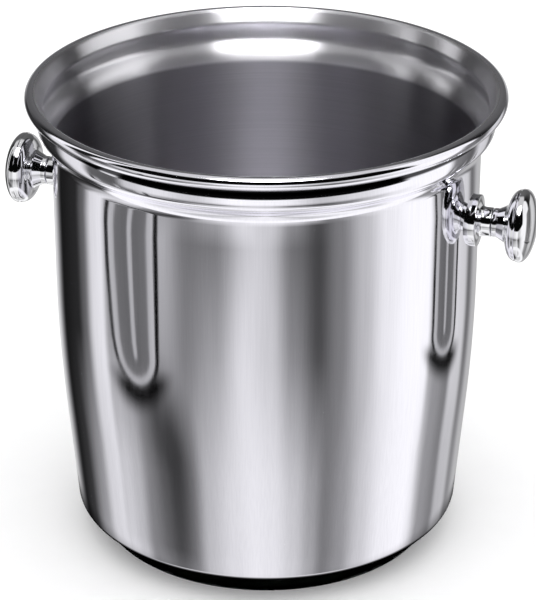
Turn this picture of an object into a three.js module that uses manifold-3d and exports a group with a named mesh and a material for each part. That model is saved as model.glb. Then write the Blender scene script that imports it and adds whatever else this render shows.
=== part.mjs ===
// Champagne bucket with two fixed side knobs.
// Millimetres, +Z up. The origin is the centre of the circle that the foot stands on,
// and +X runs out along the axis of the right knob.
import * as THREE from 'three';
import { mergeVertices } from 'three/addons/utils/BufferGeometryUtils.js';
import Module from 'manifold-3d';

const wasm = await Module();
wasm.setup();

// ---------------------------------------------------------------- driving dimensions
const gap = 0.3; // left between pieces that touch

const bucketHeight = 210.5; // foot to the top of the rolled rim
const rimRadius = 105; // outside of the rolled rim
const rollRadius = 3; // outside of the roll's round section
const rollTurn = 300; // degrees that the roll curls over, leaving its edge just off the lip
const sheet = 0.9; // wall, floor and foot sheet thickness

const collarRadius = 100.1; // outside of the collar at its widest
const collarCrown = 12.5; // outside radius of the collar's crowned upper half
const collarLean = 34; // degrees that the crown leans inwards where it meets the neck
const neckRadius = 1.5; // mid-line radius of the groove between collar and rolled rim
const lipLean = 30; // degrees that the lip flares outwards from the neck into the roll

const bodyRadius = 94.1; // outside of the body's straight upper part
const shoulderUpper = 3.5; // mid-line radius of the bend that turns in below the collar's widest point
const shoulderBottom = 185; // height where a wider bend has brought the collar back to the body
const taperTop = 122.7; // the wall is straight above this height
const taperBottom = 62.7; // and a plain cone below this one
const taperAngle = 4.83; // degrees
const cornerRadius = 4.1; // outside radius between wall and floor
const floorUnderside = 10.65;

const footRadius = 76.85; // outside of the foot ring's wall
const footBulge = 0.35; // how far its wall crowns outwards
const footEdgeRadius = 1.5; // rolled lower edge
const footLip = 2; // flat resting face, measured inwards from the rolled edge
const footFlange = 8; // upper flange welded under the floor

const knobHeight = 157.9; // axis of both knobs above the foot
const screwRadius = 2.9;
const tappedRadius = screwRadius + gap;
const clearanceRadius = 3.3; // holes that the screw only passes through

// distances from the bucket's axis, along a knob's axis
const screwHeadStart = 84.4;
const screwHeadEnd = 87.6;
const screwTip = 111;
const lockWasherStart = 87.9;
const lockWasherEnd = 89.3;
const backWasherStart = 89.6;
const backWasherEnd = 90.8;
const gasketStart = 91.1;
const rosetteBlank = 92; // the rosette's blank starts here, before its back is hollowed to the wall
const rosetteEdge = 96.4;
const rosetteEnd = 102.2;
const coveDepth = 2.4; // of the rosette's hollow flare, from its face to its stem
const knobStart = 102.5;
const coneStart = 104.7;
const capBack = 108.6;
const capEdge = 113.9;
const capFront = 115.5;
const knobTip = 121.3;
const boreEnd = 111.5;

// radii about a knob's axis
const rosetteRadius = 11.5;
const stemRadius = 6.4;
const capNeckRadius = 8.7;
const capRadius = 16;
const backWasherRadius = 8;
const gasketRadius = 8;
const lockWasherRadius = 5.4;
const screwHeadRadius = 5;
const slotWidth = 1.4;
const slotDepth = 1.3;
const edgeBreak = 0.6; // chamfer on the ends of stem and rosette
const coneBevel = 0.5; // where the knob's cone meets the back of its cap
const dishStep = 0.6; // the dish starts this far beyond the cone's end
const capBevel = 0.4; // on the back of the cap's edge
const headChamfer = 1.2;
const tipChamfer = 0.8;

// facets round each kind of piece
const bucketFacets = 64;
const knobFacets = 28;
const smallFacets = 20;
const wallFacets = 512; // a cutter as wide as the bucket, fine enough to leave a smooth hollow
const bendFacet = 18; // degrees of a bend that one flat facet covers
const rollFacet = 30; // meets the roll's top and its outermost point exactly
const sweepFacet = 2.5;

// ---------------------------------------------------------------- outline helpers
const point = (radius, height) => new THREE.Vector2(radius, height);
const radians = (degrees) => THREE.MathUtils.degToRad(degrees);

// points of an elliptical arc, both ends included; angles in degrees
function arc(centreRadius, centreHeight, across, along, from, to, steps) {
  const points = [];
  for (let step = 0; step <= steps; step += 1) {
    const angle = radians(from + ((to - from) * step) / steps);
    points.push(point(centreRadius + across * Math.cos(angle), centreHeight + along * Math.sin(angle)));
  }
  return points;
}

// A bent sheet is drawn by walking along its middle: straight runs and bends of a given
// mid-line radius. A positive bend turns towards the bucket's inside.
class SheetPath {
  constructor(start, headingDegrees) {
    this.position = start.clone();
    this.heading = radians(headingDegrees);
    this.stations = [];
    this.mark();
  }

  mark() {
    const outward = point(Math.sin(this.heading), -Math.cos(this.heading));
    this.stations.push({ middle: this.position.clone(), outward });
  }

  run(length) {
    this.position.add(point(Math.cos(this.heading), Math.sin(this.heading)).multiplyScalar(length));
    this.mark();
  }

  bend(radius, degrees, facet = bendFacet) {
    const steps = Math.ceil(Math.abs(degrees) / facet);
    const turn = radians(degrees) / steps;
    const chord = 2 * radius * Math.sin(Math.abs(turn) / 2);
    for (let step = 0; step < steps; step += 1) {
      this.heading += turn / 2;
      this.position.add(point(Math.cos(this.heading), Math.sin(this.heading)).multiplyScalar(chord));
      this.heading += turn / 2;
      this.mark();
    }
  }

  // the closed outline: along the outer skin and back along the inner one
  outline(thickness) {
    const offset = (distance) => ({ middle, outward }) => middle.clone().addScaledVector(outward, distance);
    const outerSkin = this.stations.map(offset(thickness / 2));
    const innerSkin = this.stations.map(offset(-thickness / 2));
    return [...outerSkin, ...innerSkin.reverse()];
  }
}

// ---------------------------------------------------------------- solid helpers
// a turned solid about +Z; the outline ends on the axis or closes on itself
function turned(outline, facets) {
  return new THREE.LatheGeometry(outline, facets).rotateX(Math.PI / 2);
}

function toManifold(geometry) {
  const bare = geometry.clone();
  bare.deleteAttribute('normal');
  bare.deleteAttribute('uv');
  const merged = mergeVertices(bare, 1e-4);
  const mesh = new wasm.Mesh({
    numProp: 3,
    vertProperties: new Float32Array(merged.attributes.position.array),
    triVerts: new Uint32Array(merged.index.array),
  });
  return new wasm.Manifold(mesh);
}

function toGeometry(solid) {
  const mesh = solid.getMesh();
  const geometry = new THREE.BufferGeometry();
  geometry.setAttribute('position', new THREE.BufferAttribute(new Float32Array(mesh.vertProperties), 3));
  geometry.setIndex(new THREE.BufferAttribute(new Uint32Array(mesh.triVerts), 1));
  return geometry;
}

const subtract = (geometry, tool) => toGeometry(toManifold(geometry).subtract(toManifold(tool)));
const intersect = (geometry, tool) => toGeometry(toManifold(geometry).intersect(toManifold(tool)));

// a cylinder lying along the X axis through the origin
function barAlongX(radius, length, facets) {
  return new THREE.CylinderGeometry(radius, radius, length, facets).rotateZ(Math.PI / 2);
}

function material(color, roughness, metalness) {
  return new THREE.MeshStandardMaterial({ color, roughness, metalness });
}

function piece(name, geometry, look) {
  const mesh = new THREE.Mesh(geometry, look);
  mesh.name = name;
  return mesh;
}

// ---------------------------------------------------------------- bucket and foot
// One drawn sheet: flat floor, conical then straight wall, shoulder, crowned collar, neck, lip and roll.
function bucketShell() {
  const half = sheet / 2;
  const wallRadius = bodyRadius - half;
  const bendRadius = (taperTop - taperBottom) / Math.sin(radians(taperAngle));
  const coneTopRadius = wallRadius - bendRadius * (1 - Math.cos(radians(taperAngle)));
  const cornerMid = cornerRadius - half;
  const cornerTurn = 90 - taperAngle;
  const floorMid = floorUnderside + half;
  const taperStart = floorMid + cornerMid * (1 - Math.cos(radians(cornerTurn)));
  const coneRun = (taperBottom - taperStart) / Math.cos(radians(taperAngle));
  const coneStartRadius = coneTopRadius - coneRun * Math.sin(radians(taperAngle));
  const floorRadius = coneStartRadius - cornerMid * Math.sin(radians(cornerTurn));

  // The roll starts where its circle leans as the lip does; the lip and crown are set back from there.
  const crownRadius = collarRadius - half;
  const rollMid = rollRadius - half;
  const crownMid = collarCrown - half;
  const lean = radians(collarLean);
  const flare = radians(lipLean);
  const rollStartRadius = rimRadius - rollRadius - rollMid * Math.cos(flare);
  const rollStartHeight = bucketHeight - rollRadius + rollMid * Math.sin(flare);
  const neckBottomRadius = crownRadius - crownMid * (1 - Math.cos(lean));
  const neckTopRadius = neckBottomRadius + neckRadius * (Math.cos(lean) - Math.cos(flare));
  const lipRun = (rollStartRadius - neckTopRadius) / Math.sin(flare);
  const neckRise = neckRadius * (Math.sin(lean) + Math.sin(flare));
  const widestHeight = rollStartHeight - lipRun * Math.cos(flare) - neckRise - crownMid * Math.sin(lean);

  // Below the crown, a tight bend turns in and a wider one turns back to the wall.
  const shoulderRise = widestHeight - shoulderBottom;
  const shoulderTurn = 2 * Math.atan((crownRadius - wallRadius) / shoulderRise);
  const shoulderLower = shoulderRise / Math.sin(shoulderTurn) - shoulderUpper;
  const shoulderDegrees = THREE.MathUtils.radToDeg(shoulderTurn);

  const path = new SheetPath(point(0, floorMid), 0);
  path.run(floorRadius);
  path.bend(cornerMid, cornerTurn);
  path.run(coneRun);
  path.bend(bendRadius, taperAngle, sweepFacet);
  path.run(shoulderBottom - taperTop);
  path.bend(shoulderLower, -shoulderDegrees);
  path.bend(shoulderUpper, shoulderDegrees);
  path.bend(crownMid, collarLean);
  path.bend(neckRadius, -collarLean - lipLean);
  path.run(lipRun);
  path.bend(rollMid, -rollTurn, rollFacet);

  const shell = turned(path.outline(sheet), bucketFacets);
  const screwHoles = barAlongX(clearanceRadius, 2 * rimRadius, smallFacets).translate(0, 0, knobHeight);
  return subtract(shell, screwHoles);
}

// A channel-section ring: flange under the floor, slightly crowned wall, rolled edge and resting lip.
function footRing() {
  const flangeTop = floorUnderside - gap;
  const flangeRadius = footRadius - footFlange;
  const lipRadius = footRadius - footEdgeRadius - footLip;
  const innerEdgeRadius = footEdgeRadius - sheet;
  const wallMiddle = (flangeTop + footEdgeRadius) / 2;
  const edgeCentre = footRadius - footEdgeRadius;
  const outer = [
    point(lipRadius, 0),
    ...arc(edgeCentre, footEdgeRadius, footEdgeRadius, footEdgeRadius, -90, 0, 3),
    point(footRadius + footBulge, wallMiddle),
    point(footRadius, flangeTop),
  ];
  const inner = [
    point(flangeRadius, flangeTop),
    point(flangeRadius, flangeTop - sheet),
    point(footRadius - sheet, flangeTop - sheet),
    point(footRadius + footBulge - sheet, wallMiddle),
    ...arc(edgeCentre, footEdgeRadius, innerEdgeRadius, innerEdgeRadius, 0, -90, 2),
    point(lipRadius, sheet),
    point(lipRadius, 0),
  ];
  return turned([...outer, ...inner], bucketFacets);
}

// ---------------------------------------------------------------- knob hardware
// Every piece below is drawn about its own +Z, which points outwards from the bucket's axis,
// at its true distance from that axis. The bucket's axis lies along local X.

// Solid turned knob: stem, cone, dished cap with a thin rim and a shallow dome, blind tapped hole.
function knob() {
  const dishWidth = capRadius - capNeckRadius - capBevel;
  const dishDepth = capEdge - capBack - dishStep;
  const outline = [
    point(0, boreEnd),
    point(tappedRadius, boreEnd),
    point(tappedRadius, knobStart),
    point(stemRadius - edgeBreak, knobStart),
    point(stemRadius, knobStart + edgeBreak),
    point(stemRadius, coneStart),
    point(capNeckRadius - coneBevel, capBack - coneBevel),
    point(capNeckRadius, capBack),
    ...arc(capNeckRadius, capEdge, dishWidth, dishDepth, -90, 0, 5).slice(1),
    point(capRadius, capEdge + capBevel),
    ...arc(0, capFront, capRadius, knobTip - capFront, 0, 90, 7),
  ];
  return turned(outline, knobFacets);
}

// Bell-shaped rosette between wall and knob, its back hollowed to the wall's curve.
function rosette() {
  const coveWidth = rosetteRadius - edgeBreak - stemRadius;
  const outline = [
    point(clearanceRadius, rosetteBlank),
    point(rosetteRadius, rosetteBlank),
    point(rosetteRadius, rosetteEdge - edgeBreak),
    point(rosetteRadius - edgeBreak, rosetteEdge),
    ...arc(stemRadius + coveWidth, rosetteEdge + coveDepth, coveWidth, coveDepth, -90, -180, 4).slice(1),
    point(stemRadius, rosetteEnd - edgeBreak),
    point(stemRadius - edgeBreak, rosetteEnd),
    point(clearanceRadius, rosetteEnd),
    point(clearanceRadius, rosetteBlank),
  ];
  const wall = barAlongX(bodyRadius + gap, bucketHeight, wallFacets);
  return subtract(turned(outline, knobFacets), wall);
}

function flatWasher(innerRadius, outerRadius, start, end) {
  const outline = [
    point(innerRadius, start),
    point(outerRadius, start),
    point(outerRadius, end),
    point(innerRadius, end),
    point(innerRadius, start),
  ];
  return turned(outline, smallFacets);
}

// Soft gasket inside the wall, its outer face crowned to the wall's curve.
function gasket() {
  const blank = flatWasher(clearanceRadius, gasketRadius, gasketStart, bodyRadius);
  const bore = barAlongX(bodyRadius - sheet - gap, bucketHeight, wallFacets);
  return intersect(blank, bore);
}

// Spring lock washer: a ring split by a narrow gap.
function lockWasher() {
  const splitHalfAngle = radians(7);
  const ring = new THREE.Shape();
  ring.absarc(0, 0, lockWasherRadius, splitHalfAngle, 2 * Math.PI - splitHalfAngle, false);
  ring.absarc(0, 0, clearanceRadius, 2 * Math.PI - splitHalfAngle, splitHalfAngle, true);
  ring.closePath();
  const depth = lockWasherEnd - lockWasherStart;
  const settings = { depth, bevelEnabled: false, curveSegments: smallFacets };
  return new THREE.ExtrudeGeometry(ring, settings).translate(0, 0, lockWasherStart);
}

// Slotted pan-head screw, driven from inside the bucket into the knob.
function screw() {
  const outline = [
    point(0, screwHeadStart),
    point(screwHeadRadius - headChamfer, screwHeadStart),
    point(screwHeadRadius, screwHeadStart + headChamfer),
    point(screwHeadRadius, screwHeadEnd),
    point(screwRadius, screwHeadEnd),
    point(screwRadius, screwTip - tipChamfer),
    point(screwRadius - tipChamfer, screwTip),
    point(0, screwTip),
  ];
  const slotLength = 3 * screwHeadRadius; // runs out past both sides of the head
  const slot = new THREE.BoxGeometry(slotWidth, slotLength, 2 * slotDepth).translate(0, 0, screwHeadStart);
  return subtract(turned(outline, smallFacets), slot);
}

// ---------------------------------------------------------------- assembly
const looks = {
  shell: material(0xc9c9cf, 0.22, 1),
  foot: material(0xb5b5bb, 0.25, 1),
  knob: material(0xd6d6da, 0.08, 1),
  screw: material(0xa9a9ad, 0.35, 1),
  gasket: material(0xb9b9b2, 0.7, 0),
};

const backWasher = () => flatWasher(clearanceRadius, backWasherRadius, backWasherStart, backWasherEnd);

const knobPieces = [
  ['knob', knob, looks.knob],
  ['knob_rosette', rosette, looks.knob],
  ['knob_gasket', gasket, looks.gasket],
  ['knob_back_washer', backWasher, looks.screw],
  ['knob_lock_washer', lockWasher, looks.screw],
  ['knob_screw', screw, looks.screw],
];

function knobAssembly(side, quarterTurn) {
  const assembly = new THREE.Group();
  assembly.position.z = knobHeight;
  assembly.rotation.y = quarterTurn;
  for (const [name, shape, look] of knobPieces) {
    assembly.add(piece(`${name}_${side}`, shape(), look.clone()));
  }
  return assembly;
}

const bucket = new THREE.Group();
bucket.add(piece('bucket_shell', bucketShell(), looks.shell));
bucket.add(piece('foot_ring', footRing(), looks.foot));
bucket.add(knobAssembly('right', Math.PI / 2));
bucket.add(knobAssembly('left', -Math.PI / 2));

export default bucket;
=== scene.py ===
import math

import bpy
from mathutils import Matrix, Vector


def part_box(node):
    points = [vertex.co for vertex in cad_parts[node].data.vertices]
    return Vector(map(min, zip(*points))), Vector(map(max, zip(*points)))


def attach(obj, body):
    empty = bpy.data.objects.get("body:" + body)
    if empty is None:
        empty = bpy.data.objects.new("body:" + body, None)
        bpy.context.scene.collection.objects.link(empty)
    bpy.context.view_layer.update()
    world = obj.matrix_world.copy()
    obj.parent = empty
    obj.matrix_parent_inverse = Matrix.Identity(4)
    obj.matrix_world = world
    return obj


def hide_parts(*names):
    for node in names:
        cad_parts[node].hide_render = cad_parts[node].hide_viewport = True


# Looks for the champagne bucket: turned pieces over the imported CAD, their metals, the studio and the camera.
# Lengths are in millimetres until a mesh is made; +Z is up and +X runs out along the right knob.

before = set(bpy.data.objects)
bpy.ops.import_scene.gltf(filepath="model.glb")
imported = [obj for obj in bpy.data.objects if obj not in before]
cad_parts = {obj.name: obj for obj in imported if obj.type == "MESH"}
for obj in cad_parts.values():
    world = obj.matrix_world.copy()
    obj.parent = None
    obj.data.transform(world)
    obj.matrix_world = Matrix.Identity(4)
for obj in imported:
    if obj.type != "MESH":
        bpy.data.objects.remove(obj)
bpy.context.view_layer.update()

MM = 0.001
GAP = 0.3  # left between pieces that touch
SHARP_EDGE = math.radians(40)  # flatter edges than this are shaded smooth


def extent(node):
    """Lowest and highest corner of a CAD node, in millimetres."""
    low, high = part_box(node)
    return low / MM, high / MM


# ---------------------------------------------------------------------- outlines
class SheetPath:
    """The middle line of a bent sheet in (radius, height), walked as straight runs and round bends.

    A positive bend turns towards the bucket's axis.
    """

    def __init__(self, radius, height):
        self.place = Vector((radius, height))
        self.heading = 0.0
        self.stations = []
        self.mark()

    def mark(self):
        outward = Vector((math.sin(self.heading), -math.cos(self.heading)))
        self.stations.append((self.place.copy(), outward))

    def advance(self, length):
        self.place += length * Vector((math.cos(self.heading), math.sin(self.heading)))

    def run(self, length, pace=12):
        count = math.ceil(length / pace)
        for _ in range(count):
            self.advance(length / count)
            self.mark()

    def bend(self, radius, turn, pace=math.radians(6)):
        count = math.ceil(abs(turn) / pace)
        chord = 2 * radius * math.sin(abs(turn) / count / 2)
        for _ in range(count):
            self.heading += turn / count / 2
            self.advance(chord)
            self.heading += turn / count / 2
            self.mark()

    def outline(self, thickness):
        """Along the outer skin, then back along the inner one."""
        outer = [place + outward * thickness / 2 for place, outward in self.stations]
        inner = [place - outward * thickness / 2 for place, outward in self.stations]
        return outer + inner[::-1]


def filleted(corners, closed=False):
    """An outline through (radius, height, fillet) corners; a fillet of 0 keeps the corner as it is."""
    steps = 4
    points = []
    count = len(corners)
    for index, (radius, height, fillet) in enumerate(corners):
        here = Vector((radius, height))
        if not fillet or (not closed and index in (0, count - 1)):
            points.append(here)
            continue
        before = Vector(corners[index - 1][:2])
        after = Vector(corners[(index + 1) % count][:2])
        towards_before = (before - here).normalized()
        towards_after = (after - here).normalized()
        half_angle = towards_before.angle(towards_after) / 2
        reach = fillet / math.tan(half_angle)
        centre = here + (towards_before + towards_after).normalized() * fillet / math.sin(half_angle)
        start = here + towards_before * reach - centre
        end = here + towards_after * reach - centre
        for step in range(steps + 1):
            points.append(centre + fillet * start.slerp(end, step / steps))
    return points


def arc(centre, across, along, start, end, steps):
    """Points on an ellipse's arc, both ends included; the angles are in degrees."""
    points = []
    for step in range(steps + 1):
        angle = math.radians(start + (end - start) * step / steps)
        points.append((centre[0] + across * math.cos(angle), centre[1] + along * math.sin(angle), 0))
    return points


def as_pairs(points):
    return [tuple(point) for point in points]


# ---------------------------------------------------------------------- meshes
def turned(name, outline, segments, closed=False, second_look_from=None):
    """A turned body about +Z, with a UV map of (way round, way along the outline); both are in metres."""
    on_axis = 1e-6
    widest = max(point[0] for point in outline)
    vertices = []
    rings = []
    for radius, height in outline:
        first = len(vertices)
        if radius < on_axis:
            vertices.append((0, 0, height * MM))
            rings.append([first] * (segments + 1))
            continue
        for segment in range(segments):
            # the seam is at the back
            angle = math.pi / 2 + 2 * math.pi * segment / segments
            vertices.append((radius * math.cos(angle) * MM, radius * math.sin(angle) * MM, height * MM))
        rings.append([first + segment for segment in range(segments)] + [first])

    travelled = [0.0]
    for here, following in zip(outline, outline[1:] + outline[:1]):
        travelled.append(travelled[-1] + (Vector(following) - Vector(here)).length * MM)

    faces = []
    face_uvs = []
    face_looks = []
    spans = len(outline) if closed else len(outline) - 1
    for span in range(spans):
        lower = rings[span]
        upper = rings[(span + 1) % len(rings)]
        look = int(second_look_from is not None and span >= second_look_from)
        for segment in range(segments):
            corners = [
                (lower[segment], segment, span),
                (lower[segment + 1], segment + 1, span),
                (upper[segment + 1], segment + 1, span + 1),
                (upper[segment], segment, span + 1),
            ]
            kept = []
            for corner in corners:
                if corner[0] not in [other[0] for other in kept]:
                    kept.append(corner)
            if len(kept) < 3:
                continue
            faces.append([corner[0] for corner in kept])
            face_looks.append(look)
            for _, around, along in kept:
                face_uvs.append((2 * math.pi * widest * MM * around / segments, travelled[along]))

    mesh = bpy.data.meshes.new(name)
    mesh.from_pydata(vertices, [], faces)
    uv_layer = mesh.uv_layers.new(name="turning")
    for loop, uv in zip(uv_layer.data, face_uvs):
        loop.uv = uv
    for polygon, look in zip(mesh.polygons, face_looks):
        polygon.material_index = look
        polygon.use_smooth = True
    mesh.set_sharp_from_angle(angle=SHARP_EDGE)
    return mesh


def piece(name, mesh, looks, node, place=Matrix.Identity(4)):
    """Stands a mesh in the frame in place of a CAD node."""
    thing = bpy.data.objects.new(name, mesh)
    bpy.context.scene.collection.objects.link(thing)
    for look in looks:
        mesh.materials.append(look)
    thing.matrix_world = place
    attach(thing, "root")
    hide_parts(node)
    return thing


def block(low, high):
    """A box mesh between two corners given in millimetres."""
    corners = []
    for z in (low[2], high[2]):
        for y in (low[1], high[1]):
            for x in (low[0], high[0]):
                corners.append((x * MM, y * MM, z * MM))
    sides = [(0, 2, 3, 1), (4, 5, 7, 6), (0, 1, 5, 4), (2, 6, 7, 3), (0, 4, 6, 2), (1, 3, 7, 5)]
    mesh = bpy.data.meshes.new("block")
    mesh.from_pydata(corners, [], sides)
    return mesh


def carve(target, mesh, place):
    """Cuts a mesh out of a finished piece."""
    cutter = bpy.data.objects.new("cutter", mesh)
    bpy.context.scene.collection.objects.link(cutter)
    cutter.matrix_world = place
    cut = target.modifiers.new("cut", "BOOLEAN")
    cut.operation = "DIFFERENCE"
    cut.solver = "EXACT"
    cut.object = cutter
    shape = target.evaluated_get(bpy.context.evaluated_depsgraph_get())
    target.data = bpy.data.meshes.new_from_object(shape)
    target.data.set_sharp_from_angle(angle=SHARP_EDGE)
    target.modifiers.clear()
    bpy.data.objects.remove(cutter)


# ---------------------------------------------------------------------- node helper
class Nodes:
    """Adds nodes to a tree and wires them; an input is a socket or a plain value."""

    def __init__(self, tree):
        self.tree = tree
        tree.nodes.clear()

    def add(self, kind, inputs=(), **settings):
        node = self.tree.nodes.new(kind)
        for key, value in settings.items():
            setattr(node, key, value)
        for key, value in dict(inputs).items():
            self.join(value, node.inputs[key])
        return node

    def join(self, value, socket):
        if isinstance(value, bpy.types.NodeSocket):
            self.tree.links.new(value, socket)
        else:
            socket.default_value = value

    def math(self, operation, *values):
        return self.add("ShaderNodeMath", enumerate(values), operation=operation).outputs[0]

    def blend(self, factor, first, second):
        """A colour between two colours."""
        node = self.add("ShaderNodeMix", data_type="RGBA")
        self.join(factor, node.inputs["Factor"])
        colours = [socket for socket in node.inputs if socket.type == "RGBA"]
        self.join(first, colours[0])
        self.join(second, colours[1])
        return next(socket for socket in node.outputs if socket.type == "RGBA")

    def span(self, value, low, high, to_low, to_high, smooth=False):
        """Carries a value from one range to another, held at the ends."""
        inputs = {"Value": value, "From Min": low, "From Max": high, "To Min": to_low, "To Max": to_high}
        style = "SMOOTHSTEP" if smooth else "LINEAR"
        return self.add("ShaderNodeMapRange", inputs, interpolation_type=style).outputs["Result"]

    def noise(self, vector, scale, detail=2.0, roughness=0.5):
        inputs = {"Vector": vector, "Scale": scale, "Detail": detail, "Roughness": roughness}
        return self.add("ShaderNodeTexNoise", inputs).outputs["Fac"]

    def stretched(self, vector, scale):
        return self.add("ShaderNodeMapping", {"Vector": vector, "Scale": scale}).outputs["Vector"]

    def ramp(self, factor, stops):
        """Brightness by position from 0 to 1, through (position, brightness) stops."""
        node = self.add("ShaderNodeValToRGB", {"Fac": factor})
        band = node.color_ramp
        band.interpolation = "EASE"
        while len(band.elements) < len(stops):
            band.elements.new(0.5)
        for element, (position, brightness) in zip(band.elements, stops):
            element.position = position
            element.color = (brightness, brightness, brightness, 1)
        return node.outputs["Color"]


def metal(name, paint):
    """A metal material; paint(nodes, shader) wires its detail."""
    look = bpy.data.materials.new(name)
    look.use_nodes = True
    nodes = Nodes(look.node_tree)
    shader = nodes.add("ShaderNodeBsdfPrincipled", {"Metallic": 1.0})
    paint(nodes, shader)
    nodes.add("ShaderNodeOutputMaterial", {"Surface": shader.outputs[0]})
    return look


def tilt(nodes, height, strength, distance):
    """A bump normal; the distance is in metres."""
    inputs = {"Height": height, "Strength": strength, "Distance": distance}
    return nodes.add("ShaderNodeBump", inputs).outputs["Normal"]


# ---------------------------------------------------------------------- materials
PALE_STEEL = (0.90, 0.89, 0.95, 1)
GREY_STEEL = (0.84, 0.83, 0.89, 1)
PAINTED_RIM_REFLECTION = (0.06, 0.06, 0.065, 1)  # a painted dark reflection: the black line under the rolled rim
PAINTED_REFLECTION_BOTTOM = (0.2004, 0.2012)  # heights in metres between which the painted dark reflection fades in
PAINTED_REFLECTION_TOP = (0.2053, 0.2059)
# the inside's darker colour below these heights is painted shade
SATIN_WALL_TOP = (0.1855, 0.1875)  # below these heights the inside is painted darker, as the photograph is


def paint_polished(nodes, shader):
    """Buffed outside: a faint upright grain, slow wipe marks, a little variation of gloss and a painted dark
    reflection under the rolled rim.
    """
    where = nodes.add("ShaderNodeTexCoord").outputs["Object"]
    grain = nodes.noise(nodes.stretched(where, (1500, 1500, 40)), 1.0, detail=3)
    wipes = nodes.noise(nodes.stretched(where, (30, 30, 9)), 1.0, detail=3)
    height = nodes.add("ShaderNodeSeparateXYZ", {"Vector": where}).outputs["Z"]
    above_bottom = nodes.span(height, *PAINTED_REFLECTION_BOTTOM, 0, 1, smooth=True)
    below_top = nodes.span(height, *PAINTED_REFLECTION_TOP, 1, 0, smooth=True)
    # a band under the rolled rim where a dark reflection is painted into the colour
    painted_reflection = nodes.math("MULTIPLY", above_bottom, below_top)
    shade = nodes.math("ADD", nodes.math("MULTIPLY", grain, 0.5), nodes.math("MULTIPLY", wipes, 0.5))
    steel = nodes.blend(nodes.span(shade, 0.35, 0.65, 0, 1), GREY_STEEL, PALE_STEEL)
    nodes.join(nodes.blend(painted_reflection, steel, PAINTED_RIM_REFLECTION), shader.inputs["Base Color"])
    rough = nodes.span(nodes.math("ADD", nodes.math("MULTIPLY", grain, 0.5), wipes), 0.5, 1.1, 0.035, 0.08)
    nodes.join(rough, shader.inputs["Roughness"])
    nodes.join(tilt(nodes, grain, 0.12, 0.00002), shader.inputs["Normal"])


def paint_satin(nodes, shader):
    """Brushed inside: fine lines that run round the bucket, so light spreads into upright streaks; low on the
    wall the colour is painted shade.
    """
    coordinates = nodes.add("ShaderNodeTexCoord")
    object_axes = nodes.add("ShaderNodeSeparateXYZ", {"Vector": coordinates.outputs["Object"]})
    turning = nodes.add("ShaderNodeSeparateXYZ", {"Vector": coordinates.outputs["UV"]})
    lines_at = nodes.add("ShaderNodeCombineXYZ", {
        "X": nodes.math("MULTIPLY", object_axes.outputs["X"], 14.0),
        "Y": nodes.math("MULTIPLY", object_axes.outputs["Y"], 14.0),
        "Z": nodes.math("MULTIPLY", turning.outputs["Y"], 1300.0),
    }).outputs["Vector"]
    lines = nodes.noise(lines_at, 1.0, detail=4, roughness=0.6)
    streaks = nodes.noise(nodes.stretched(coordinates.outputs["Object"], (45, 45, 3)), 1.0, detail=2)
    shade = nodes.math("ADD", nodes.math("MULTIPLY", lines, 0.6), nodes.math("MULTIPLY", streaks, 0.4))
    bright = nodes.blend(shade, (0.90, 0.89, 0.94, 1), (0.98, 0.97, 1.0, 1))
    # painted shade: a darker copy of the satin colour, used low on the inside wall
    painted_shade_satin = nodes.blend(shade, (0.37, 0.36, 0.395, 1), (0.57, 0.56, 0.605, 1))
    above_wall = nodes.span(object_axes.outputs["Z"], *SATIN_WALL_TOP, 0, 1, smooth=True)
    nodes.join(nodes.blend(above_wall, painted_shade_satin, bright), shader.inputs["Base Color"])
    nodes.join(nodes.span(lines, 0.3, 0.7, 0.29, 0.33), shader.inputs["Roughness"])
    nodes.join(tilt(nodes, lines, 0.05, 0.00001), shader.inputs["Normal"])
    shader.inputs["Anisotropic"].default_value = 1.0
    shader.inputs["Anisotropic Rotation"].default_value = 0.25
    around = nodes.add("ShaderNodeTangent", direction_type="RADIAL", axis="Z").outputs[0]
    nodes.join(around, shader.inputs["Tangent"])


def paint_chrome(nodes, shader):
    """Mirror polish on the knobs, with fine turning lines and a few soft smudges."""
    coordinates = nodes.add("ShaderNodeTexCoord")
    smudges = nodes.noise(coordinates.outputs["Object"], 160.0, detail=3)
    lines = nodes.noise(nodes.stretched(coordinates.outputs["UV"], (60, 9000, 1)), 1.0, detail=2)
    colour = nodes.blend(smudges, (0.76, 0.76, 0.79, 1), (0.90, 0.90, 0.92, 1))
    nodes.join(colour, shader.inputs["Base Color"])
    nodes.join(nodes.span(smudges, 0.35, 0.75, 0.03, 0.09), shader.inputs["Roughness"])
    nodes.join(tilt(nodes, lines, 0.05, 0.00001), shader.inputs["Normal"])


def paint_foot(nodes, shader):
    """Polished foot, scuffed along the edge that slides on tables."""
    coordinates = nodes.add("ShaderNodeTexCoord")
    height = nodes.add("ShaderNodeSeparateXYZ", {"Vector": coordinates.outputs["Object"]}).outputs["Z"]
    scuffs = nodes.noise(nodes.stretched(coordinates.outputs["Object"], (90, 90, 900)), 1.0, detail=5)
    wear = nodes.math("MULTIPLY", nodes.span(height, 0.0005, 0.003, 1.0, 0.0, smooth=True), scuffs)
    colour = nodes.blend(wear, (0.80, 0.80, 0.83, 1), (0.56, 0.56, 0.57, 1))
    nodes.join(colour, shader.inputs["Base Color"])
    rough = nodes.math("ADD", nodes.span(scuffs, 0.3, 0.7, 0.09, 0.16), nodes.math("MULTIPLY", wear, 0.4))
    nodes.join(rough, shader.inputs["Roughness"])
    nodes.join(tilt(nodes, scuffs, 0.1, 0.00003), shader.inputs["Normal"])


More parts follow.
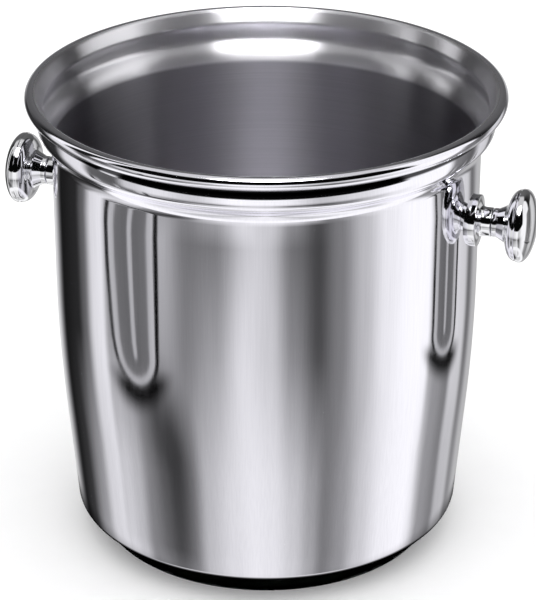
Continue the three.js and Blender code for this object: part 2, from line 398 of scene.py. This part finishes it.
def paint_fastener(nodes, shader):
    """Plain turned steel: rings from the lathe and a duller, mottled face."""
    coordinates = nodes.add("ShaderNodeTexCoord")
    rings = nodes.noise(nodes.stretched(coordinates.outputs["UV"], (40, 5000, 1)), 1.0, detail=2)
    mottle = nodes.noise(coordinates.outputs["Object"], 700.0, detail=3)
    colour = nodes.blend(mottle, (0.55, 0.55, 0.56, 1), (0.72, 0.72, 0.73, 1))
    nodes.join(colour, shader.inputs["Base Color"])
    nodes.join(nodes.span(mottle, 0.3, 0.7, 0.26, 0.42), shader.inputs["Roughness"])
    nodes.join(tilt(nodes, rings, 0.3, 0.00003), shader.inputs["Normal"])


def paint_gasket(nodes, shader):
    """Soft grey gasket: matte, finely pebbled."""
    where = nodes.add("ShaderNodeTexCoord").outputs["Object"]
    pebbles = nodes.noise(where, 2500.0, detail=2)
    patches = nodes.noise(where, 300.0, detail=2)
    colour = nodes.blend(patches, (0.48, 0.48, 0.46, 1), (0.60, 0.60, 0.57, 1))
    nodes.join(colour, shader.inputs["Base Color"])
    nodes.join(nodes.span(pebbles, 0.3, 0.7, 0.55, 0.75), shader.inputs["Roughness"])
    nodes.join(tilt(nodes, pebbles, 0.3, 0.00005), shader.inputs["Normal"])
    shader.inputs["Metallic"].default_value = 0.0


POLISHED = metal("polished_steel", paint_polished)
SATIN = metal("satin_steel", paint_satin)
CHROME = metal("knob_polish", paint_chrome)
FOOT = metal("foot_steel", paint_foot)
FASTENER = metal("turned_steel", paint_fastener)
GASKET = metal("gasket_rubber", paint_gasket)


# ---------------------------------------------------------------------- bucket and foot
SHEET = 0.9
SHELL_SEGMENTS = 224
DRILL_SEGMENTS = 48
CLEARANCE = 3.3  # radius of every hole that a knob's screw passes through


def knob_place(quarter_turn):
    """Lays +Z along a knob's axis; a positive quarter turn gives the right knob's."""
    low, high = extent("knob_right")
    return Matrix.Translation((0, 0, (low.z + high.z) / 2 * MM)) @ Matrix.Rotation(quarter_turn, 4, "Y")


def shell_path():
    """Middle line of the one drawn sheet, and the number of its stations that are satin on the inside."""
    _, high = extent("bucket_shell")
    foot_top = extent("foot_ring")[1].z
    half = SHEET / 2
    rim_radius = high.y
    roll_outside = 3
    roll = roll_outside - half
    roll_turn = math.radians(300)
    satin_turn = math.radians(40)  # the satin inside runs this far up the roll
    crown_radius = 100.1 - half
    crown = 12.5 - half
    lean = math.radians(34)
    neck = 1.5
    flare = math.radians(30)
    wall_radius = 94.1 - half
    shoulder_bottom = 185
    shoulder_upper = 3.5
    taper_top = 122.7
    taper_bottom = 62.7
    taper = math.radians(4.83)
    corner = 4.1 - half
    floor_height = foot_top + GAP + half

    sweep = (taper_top - taper_bottom) / math.sin(taper)
    cone_top_radius = wall_radius - sweep * (1 - math.cos(taper))
    cone_start = floor_height + corner * (1 - math.sin(taper))
    cone_run = (taper_bottom - cone_start) / math.cos(taper)
    floor_radius = cone_top_radius - cone_run * math.sin(taper) - corner * math.cos(taper)

    # the roll starts where its circle leans as the lip does; the lip and crown are set back from there
    roll_start_radius = rim_radius - roll_outside - roll * math.cos(flare)
    roll_start_height = high.z - roll_outside + roll * math.sin(flare)
    neck_bottom_radius = crown_radius - crown * (1 - math.cos(lean))
    neck_top_radius = neck_bottom_radius + neck * (math.cos(lean) - math.cos(flare))
    lip_run = (roll_start_radius - neck_top_radius) / math.sin(flare)
    neck_rise = neck * (math.sin(lean) + math.sin(flare))
    widest_height = roll_start_height - lip_run * math.cos(flare) - neck_rise - crown * math.sin(lean)

    # below the crown a tight bend turns in and a wider one turns back to the wall
    shoulder_rise = widest_height - shoulder_bottom
    shoulder_turn = 2 * math.atan((crown_radius - wall_radius) / shoulder_rise)
    shoulder_lower = shoulder_rise / math.sin(shoulder_turn) - shoulder_upper

    path = SheetPath(0, floor_height)
    path.run(floor_radius)
    path.bend(corner, math.pi / 2 - taper)
    path.run(cone_run)
    path.bend(sweep, taper, pace=math.radians(0.5))
    path.run(shoulder_bottom - taper_top)
    path.bend(shoulder_lower, -shoulder_turn)
    path.bend(shoulder_upper, shoulder_turn)
    path.bend(crown, lean)
    path.bend(neck, -lean - flare, pace=math.radians(10))
    path.run(lip_run)
    path.bend(roll, -satin_turn, pace=math.radians(10))
    satin_stations = len(path.stations)
    path.bend(roll, satin_turn - roll_turn, pace=math.radians(10))
    return path, satin_stations


def build_shell():
    path, satin_stations = shell_path()
    outline = as_pairs(path.outline(SHEET))
    mesh = turned("shell", outline, SHELL_SEGMENTS, second_look_from=len(outline) - satin_stations)
    shell = piece("bucket_shell_turned", mesh, [POLISHED, SATIN], "bucket_shell")
    beyond = extent("bucket_shell")[1].x + 1
    drill_outline = [(0, -beyond), (CLEARANCE, -beyond), (CLEARANCE, beyond), (0, beyond)]
    carve(shell, turned("drill", drill_outline, DRILL_SEGMENTS), knob_place(math.pi / 2))


def build_foot():
    """Channel-section ring: flange under the floor, slightly crowned wall, rolled edge and resting lip."""
    low, high = extent("foot_ring")
    widest = high.y
    edge = widest - 0.35
    lip = edge - 3.5
    flange = edge - 8
    middle = (high.z + 1.5) / 2  # the crown of the wall, a little above halfway
    corners = [
        (lip, low.z, 0.2),
        (edge, low.z, 1.4),
        (widest, middle, 2.5),
        (edge, high.z, 0.2),
        (flange, high.z, 0.2),
        (flange, high.z - SHEET, 0.2),
        (edge - SHEET, high.z - SHEET, 0.4),
        (widest - SHEET, middle, 2.0),
        (edge - SHEET, SHEET, 0.5),
        (lip, SHEET, 0.2),
    ]
    mesh = turned("foot", as_pairs(filleted(corners, closed=True)), SHELL_SEGMENTS, closed=True)
    piece("foot_ring_turned", mesh, [FOOT], "foot_ring")


# ---------------------------------------------------------------------- knobs and hardware
# Every outline below is (distance from the knob's axis, distance from the bucket's axis along it).
KNOB_SEGMENTS = 96
STEM = 6.4


def along_axis(node):
    """A node's nearest and farthest distance from the bucket's axis, and its radius about the knob's."""
    low, high = extent(node)
    near, far = sorted((abs(low.x), abs(high.x)))
    return near, far, (high.y - low.y) / 2


def knob_outline():
    near, far, cap = along_axis("knob_right")
    cone_start = near + 2.2
    back = 108.6
    bore_end = 111.5
    edge = 113.9
    front = 115.5
    neck = 8.7
    bevel = 0.5
    dish_step = 0.6
    rim_land = 0.3
    bore = CLEARANCE - 0.1
    dish = arc((neck, edge), cap - neck - rim_land, edge - back - dish_step, -82, 0, 14)
    dome = arc((0, front), cap, far - front, 4, 90, 24)
    corners = [(0, bore_end, 0), (bore, bore_end, 0.3), (bore, near, 0.2), (STEM, near, 0.6)]
    corners += [(STEM, cone_start, 0.8), (neck - bevel, back - bevel, 0.3), (neck, back, 0.1)] + dish
    corners += [(cap, edge + bevel, 0.2), (cap, front, 0)] + dome
    return filleted(corners)


def rosette_outline():
    near, far, radius = along_axis("knob_rosette_right")
    face = 96.4
    edge_land = 0.6
    cove = radius - edge_land - STEM
    depth = 2.4
    back = near - GAP  # sunk a little into the wall's thickness all round
    corners = [(CLEARANCE, back, 0), (radius, back, 0), (radius, face, 0.5)]
    corners += arc((STEM + cove, face + depth), cove, depth, -90, -180, 14)
    corners += [(STEM, far, 0.5), (CLEARANCE, far, 0.2)]
    return filleted(corners, closed=True)


def washer_outline(node, fillet):
    near, far, radius = along_axis(node)
    corners = [
        (CLEARANCE, near, fillet),
        (radius, near, fillet),
        (radius, far, fillet),
        (CLEARANCE, far, fillet),
    ]
    return filleted(corners, closed=True)


def screw_outline():
    near, far, head = along_axis("knob_screw_right")
    head_end = near + 3.2
    dome_height = 1.6
    shank = 2.9
    pitch = 1.0
    thread_depth = 0.5
    thread_start = 92.0
    tip = 0.8
    dome = arc((0, near + dome_height), head, dome_height, -90, 0, 12)
    corners = dome + [(head, head_end, 0.2), (shank, head_end, 0.3)]
    start = thread_start
    while start + pitch < far - 1:
        corners += [(shank, start, 0.05), (shank - thread_depth, start + pitch / 2, 0.05)]
        start += pitch
    corners += [(shank, far - tip, 0.1), (shank - tip, far, 0.1), (0, far, 0)]
    return filleted(corners)


def slot_cutter():
    """Fits across the screw's head and cuts as deep as its slot."""
    head_start = along_axis("knob_screw_right")[0]
    half_width = 0.7
    depth = 1.3
    beyond = 10
    return block((-half_width, -beyond, head_start - 1), (half_width, beyond, head_start + depth))


def split_cutter():
    """Cuts the lock washer's ring through on one side."""
    start, end, _ = along_axis("knob_lock_washer_right")
    half_width = 0.5
    beyond = 10
    return block((0, -half_width, start - 1), (beyond, half_width, end + 1))


def build_knob(side, quarter_turn):
    place = knob_place(quarter_turn)

    def stand(part, outline, closed, look):
        mesh = turned(part, as_pairs(outline), KNOB_SEGMENTS, closed=closed)
        return piece(f"{part}_{side}_turned", mesh, [look], f"{part}_{side}", place)

    stand("knob", knob_outline(), False, CHROME)
    stand("knob_rosette", rosette_outline(), True, CHROME)
    back_outline = washer_outline("knob_back_washer_right", 0.15)
    stand("knob_back_washer", back_outline, True, FASTENER)
    stand("knob_gasket", washer_outline("knob_gasket_right", 0.15), True, GASKET)
    lock_outline = washer_outline("knob_lock_washer_right", 0.1)
    lock_washer = stand("knob_lock_washer", lock_outline, True, FASTENER)
    carve(lock_washer, split_cutter(), place)
    screw = stand("knob_screw", screw_outline(), False, FASTENER)
    carve(screw, slot_cutter(), place)


build_shell()
build_foot()
build_knob("right", math.pi / 2)
build_knob("left", -math.pi / 2)


# ---------------------------------------------------------------------- studio and camera
VIEW_AZIMUTH = math.radians(16.3)  # the camera stands this far round towards the right knob
VIEW_RISE = math.radians(25.98)
VIEW_DISTANCE = 1.15
VIEW_HEIGHT = 0.1064  # of the point that the camera looks at
VIEW_OFFSET = 0.0007  # of that point to the camera's right of the bucket's axis
LENS = 152.58


def set_camera():
    sideways = Vector((math.cos(VIEW_AZIMUTH), math.sin(VIEW_AZIMUTH), 0))
    target = sideways * VIEW_OFFSET + Vector((0, 0, VIEW_HEIGHT))
    flat = math.cos(VIEW_RISE)
    back = Vector((math.sin(VIEW_AZIMUTH) * flat, -math.cos(VIEW_AZIMUTH) * flat, math.sin(VIEW_RISE)))
    data = bpy.data.cameras.new("camera")
    data.lens = LENS
    data.sensor_width = 36
    data.clip_start = 0.01
    camera = bpy.data.objects.new("camera", data)
    bpy.context.scene.collection.objects.link(camera)
    camera.location = target + back * VIEW_DISTANCE
    camera.rotation_euler = (-back).to_track_quat("-Z", "Y").to_euler()
    bpy.context.scene.camera = camera


# How bright the surroundings are, as the metal sees them: (degrees to the right of the camera, brightness).
# The first stops came from a program that sampled the photograph's brightness along rows of the wall. They were
# thinned and then adjusted against the photograph's rows, so this is not plain studio light.
# Upper and lower bands are the table's far and near parts, level bands its edge, and high bands the walls.
UPPER_BANDS = [
    (-180, 0.70), (-165, 0.65), (-144, 0.01), (-124, 0.02), (-116, 0.12), (-107, 0.72), (-100, 0.80),
    (-95, 0.34), (-66, 0.18), (-60, 0.46), (-44, 0.22), (-28, 0.36), (-12, 0.72), (2, 0.60),
    (14, 0.26), (28, 0.07), (40, 0.20), (54, 0.50), (68, 0.85), (84, 1.0), (98, 1.0),
    (103, 0.35), (110, 0.30), (121, 0.20), (127, 0.68), (136, 0.62), (144, 0.15), (156, 0.45),
    (180, 0.45),
]
LOWER_BANDS = [
    (-180, 0.30), (-148, 0.01), (-133, 0.06), (-120, 0.45), (-106, 0.64), (-92, 0.76), (-84, 0.60),
    (-74, 0.24), (-58, 0.22), (-46, 0.32), (-36, 0.54), (-20, 0.74), (-6, 0.84), (4, 0.80),
    (17, 0.62), (27, 0.40), (36, 0.20), (47, 0.30), (60, 0.60), (76, 0.88), (92, 0.95),
    (101, 0.72), (108, 0.30), (122, 0.22), (146, 0.42), (180, 0.40),
]
LEVEL_BANDS = [
    (-180, 0.45), (-165, 0.40), (-146, 0.03), (-124, 0.03), (-112, 0.75), (-101, 0.80), (-93, 0.12),
    (-78, 0.10), (-70, 0.60), (-54, 0.80), (-36, 0.62), (-14, 1.0), (6, 0.95), (27, 0.55),
    (44, 0.72), (66, 1.0), (97, 1.0), (104, 0.20), (118, 0.12), (127, 0.66), (137, 0.60),
    (146, 0.10), (160, 0.45), (180, 0.45),
]
HIGH_BANDS = [
    (-180, 0.12), (-150, 0.10), (-119, 0.01), (-115, 0.95), (-106, 0.95), (-102, 0.01), (-88, 0.01),
    (-85, 0.9), (-78, 0.9), (-74, 0.002), (68, 0.002), (74, 0.95), (108, 0.95), (114, 0.01),
    (150, 0.10), (180, 0.12),
]

PLAIN_LIGHT = 1.4  # strength of the world for the camera and the floor
METAL_LIGHT = 1.12  # and for what the metal mirrors
WHITE = (1.0, 1.0, 1.0, 1)
BLACK = (0, 0, 0, 1)
OVERHEAD = (0.62, 0.62, 0.62, 1)
SOFTBOX = (10.0, 10.0, 10.0, 1)
SOFTBOX_RISE = math.radians(70)  # it hangs on the camera's side of the bucket
SOFTBOX_REACH = math.radians(19)

# Across a neighbouring vessel, from its middle line out to its dark edge, matched to the photograph.
VESSEL_SHADES = [
    (0.0, 0.46), (0.05, 0.42), (0.1, 0.13), (0.48, 0.15), (0.6, 0.45), (0.72, 0.50), (0.77, 0.04),
    (0.8, 0.0), (1.0, 0.0),
]


def by_degrees(stops):
    return [((degrees + 180) / 360, brightness) for degrees, brightness in stops]


def by_rise(nodes, rise, start, end, below, above):
    """One colour below a rise in degrees and another above, passing smoothly between start and end."""
    return nodes.blend(nodes.span(rise, start, end, 0, 1, smooth=True), below, above)


def sum_of_squares(nodes, first, second):
    return nodes.math("ADD", nodes.math("MULTIPLY", first, first), nodes.math("MULTIPLY", second, second))


def shade_spot(nodes, backdrop, degrees_round, rise, middle, half_width, height, half_height, depth):
    """Darkens the backdrop softly round one direction."""
    across = nodes.math("DIVIDE", nodes.math("SUBTRACT", degrees_round, middle), half_width)
    up = nodes.math("DIVIDE", nodes.math("SUBTRACT", rise, height), half_height)
    away = nodes.math("SQRT", sum_of_squares(nodes, across, up))
    return nodes.blend(nodes.span(away, 0.1, 1, depth, 0, smooth=True), backdrop, BLACK)


def stand_vessel(nodes, backdrop, degrees_round, rise, middle, half_width, lowest, depth):
    """Paints a round-bottomed vessel beside the bucket, and its contact shadow, over the backdrop."""
    across = nodes.math("DIVIDE", nodes.math("SUBTRACT", degrees_round, middle), half_width)
    sunk = nodes.math("SUBTRACT", lowest + depth, rise)
    below = nodes.math("MAXIMUM", nodes.math("DIVIDE", sunk, depth), 0.0)
    outwards = nodes.math("SQRT", sum_of_squares(nodes, across, below))
    shades = nodes.ramp(nodes.math("MULTIPLY", outwards, 0.8), VESSEL_SHADES)
    body = nodes.span(outwards, 1.08, 1.14, 1, 0)
    fading = nodes.span(outwards, 1.3, 2.1, 1, 0, smooth=True)
    shadow = nodes.math("MULTIPLY", nodes.span(below, 0.3, 0.9, 0, 1), fading)
    return nodes.blend(nodes.math("MAXIMUM", body, shadow), backdrop, shades)


def paint_spots(nodes, bands, degrees_round, rise):
    """Soft dark patches on the table: a slanting one beside the left vessel and two near the middle."""
    slant = nodes.span(rise, -44, -29, -51, -62)
    spots = [
        {"middle": slant, "half_width": 21, "height": -36, "half_height": 13, "depth": 0.85},
        {"middle": -27, "half_width": 30, "height": -23, "half_height": 5, "depth": 0.6},
        {"middle": 16, "half_width": 22, "height": -23, "half_height": 5, "depth": 0.5},
    ]
    for spot in spots:
        bands = shade_spot(nodes, bands, degrees_round, rise, **spot)
    return bands


def paint_vessels(nodes, bands, degrees_round, rise):
    """A vessel on each side of the bucket; the left one widens upwards."""
    middle = nodes.span(rise, -30, -25, -74, -78)
    half_width = nodes.span(rise, -30, -25, 12, 16.5)
    bands = stand_vessel(nodes, bands, degrees_round, rise, middle, half_width, lowest=-30.4, depth=2.5)
    return stand_vessel(nodes, bands, degrees_round, rise, 114.0, 11.0, lowest=-28.6, depth=1.6)


def paint_ceiling(nodes, direction):
    """An even ceiling with a bright softbox in it."""
    softbox_at = (0, -math.cos(SOFTBOX_RISE), math.sin(SOFTBOX_RISE))
    sides = {0: direction, 1: softbox_at}
    nearness = nodes.add("ShaderNodeVectorMath", sides, operation="DOT_PRODUCT").outputs["Value"]
    soft_edge = 0.75 * SOFTBOX_REACH
    inside = nodes.span(nearness, math.cos(SOFTBOX_REACH), math.cos(soft_edge), 0, 1, smooth=True)
    return nodes.blend(inside, OVERHEAD, SOFTBOX)


def paint_world():
    """Plain white to the camera and the floor; only the metal sees the painted bands, spots and vessels."""
    world = bpy.data.worlds.new("studio")
    world.use_nodes = True
    world.cycles.sampling_method = "NONE"
    bpy.context.scene.world = world
    nodes = Nodes(world.node_tree)
    direction = nodes.add("ShaderNodeTexCoord").outputs["Generated"]
    turned_back = {"Vector": direction, "Angle": -VIEW_AZIMUTH}
    rotate = nodes.add("ShaderNodeVectorRotate", turned_back, rotation_type="Z_AXIS")
    from_camera = rotate.outputs["Vector"]
    axes = nodes.add("ShaderNodeSeparateXYZ", {"Vector": from_camera})
    backwards = nodes.math("MULTIPLY", axes.outputs["Y"], -1.0)
    around = nodes.math("ARCTAN2", axes.outputs["X"], backwards)
    turn = nodes.span(around, -math.pi, math.pi, 0.0, 1.0)
    rise = nodes.math("DEGREES", nodes.math("ARCSINE", axes.outputs["Z"]))

    degrees_round = nodes.math("DEGREES", around)
    upper = nodes.ramp(turn, by_degrees(UPPER_BANDS))
    lower = nodes.ramp(turn, by_degrees(LOWER_BANDS))
    level = nodes.ramp(turn, by_degrees(LEVEL_BANDS))
    high = nodes.ramp(turn, by_degrees(HIGH_BANDS))
    bands = nodes.blend(nodes.span(rise, -42, -27, 0, 1), lower, upper)
    bands = paint_spots(nodes, bands, degrees_round, rise)
    bands = paint_vessels(nodes, bands, degrees_round, rise)
    under_bucket = nodes.blend(0.55, WHITE, lower)
    foreground = by_rise(nodes, rise, -64, -56, under_bucket, WHITE)
    near_table = by_rise(nodes, rise, -49, -45, foreground, bands)
    far_table = by_rise(nodes, rise, -24, -13, near_table, level)
    walls = by_rise(nodes, rise, 2, 5, far_table, high)
    seen_in_metal = by_rise(nodes, rise, 50, 60, walls, paint_ceiling(nodes, from_camera))

    paths = nodes.add("ShaderNodeLightPath")
    colour = nodes.blend(paths.outputs["Is Glossy Ray"], WHITE, seen_in_metal)
    strength = nodes.span(paths.outputs["Is Glossy Ray"], 0, 1, PLAIN_LIGHT, METAL_LIGHT)
    light = nodes.add("ShaderNodeBackground", {"Color": colour, "Strength": strength})
    nodes.add("ShaderNodeOutputWorld", {"Surface": light.outputs[0]})


def flat_disc(name, radius, height):
    """A level disc in metres, for the stage."""
    segments = 96
    rim = []
    for step in range(segments):
        angle = 2 * math.pi * step / segments
        rim.append((radius * math.cos(angle), radius * math.sin(angle), height))
    mesh = bpy.data.meshes.new(name)
    mesh.from_pydata(rim, [], [list(range(segments))])
    disc = bpy.data.objects.new(name, mesh)
    bpy.context.scene.collection.objects.link(disc)
    return disc


def lay_floor():
    floor = flat_disc("floor", 6.0, 0.0)
    look = bpy.data.materials.new("pale_floor")
    look.use_nodes = True
    nodes = Nodes(look.node_tree)
    where = nodes.add("ShaderNodeTexCoord").outputs["Object"]
    mottle = nodes.noise(where, 40.0, detail=3)
    colour = nodes.blend(mottle, (0.89, 0.89, 0.89, 1), (0.92, 0.92, 0.92, 1))
    shader = nodes.add("ShaderNodeBsdfPrincipled", {"Base Color": colour, "Roughness": 0.8})
    nodes.add("ShaderNodeOutputMaterial", {"Surface": shader.outputs[0]})
    floor.data.materials.append(look)
    floor.visible_glossy = False


def lay_contact_shadow():
    """What the foot and the lower corner mirror: a black disc, seen only in reflections, as painted shadow on
    the ground close under the bucket.
    """
    shadow = flat_disc("contact_shadow", 0.12, 0.0002)
    look = bpy.data.materials.new("contact_shadow")
    look.use_nodes = True
    nodes = Nodes(look.node_tree)
    where = nodes.add("ShaderNodeTexCoord").outputs["Object"]
    reach = nodes.add("ShaderNodeVectorMath", {0: where}, operation="LENGTH").outputs["Value"]
    dark_within = 0.088
    clear_beyond = 0.104
    clear = nodes.add("ShaderNodeBsdfTransparent")
    dark = nodes.add("ShaderNodeEmission", {"Color": BLACK, "Strength": 0.0})
    mixed = nodes.add("ShaderNodeMixShader", {
        0: nodes.span(reach, dark_within, clear_beyond, 0, 1, smooth=True),
        1: dark.outputs[0],
        2: clear.outputs[0],
    })
    nodes.add("ShaderNodeOutputMaterial", {"Surface": mixed.outputs[0]})
    shadow.data.materials.append(look)
    shadow.visible_camera = False
    shadow.visible_diffuse = False
    shadow.visible_shadow = False


set_camera()
paint_world()
lay_floor()
lay_contact_shadow()
bpy.context.scene.view_settings.view_transform = "Standard"
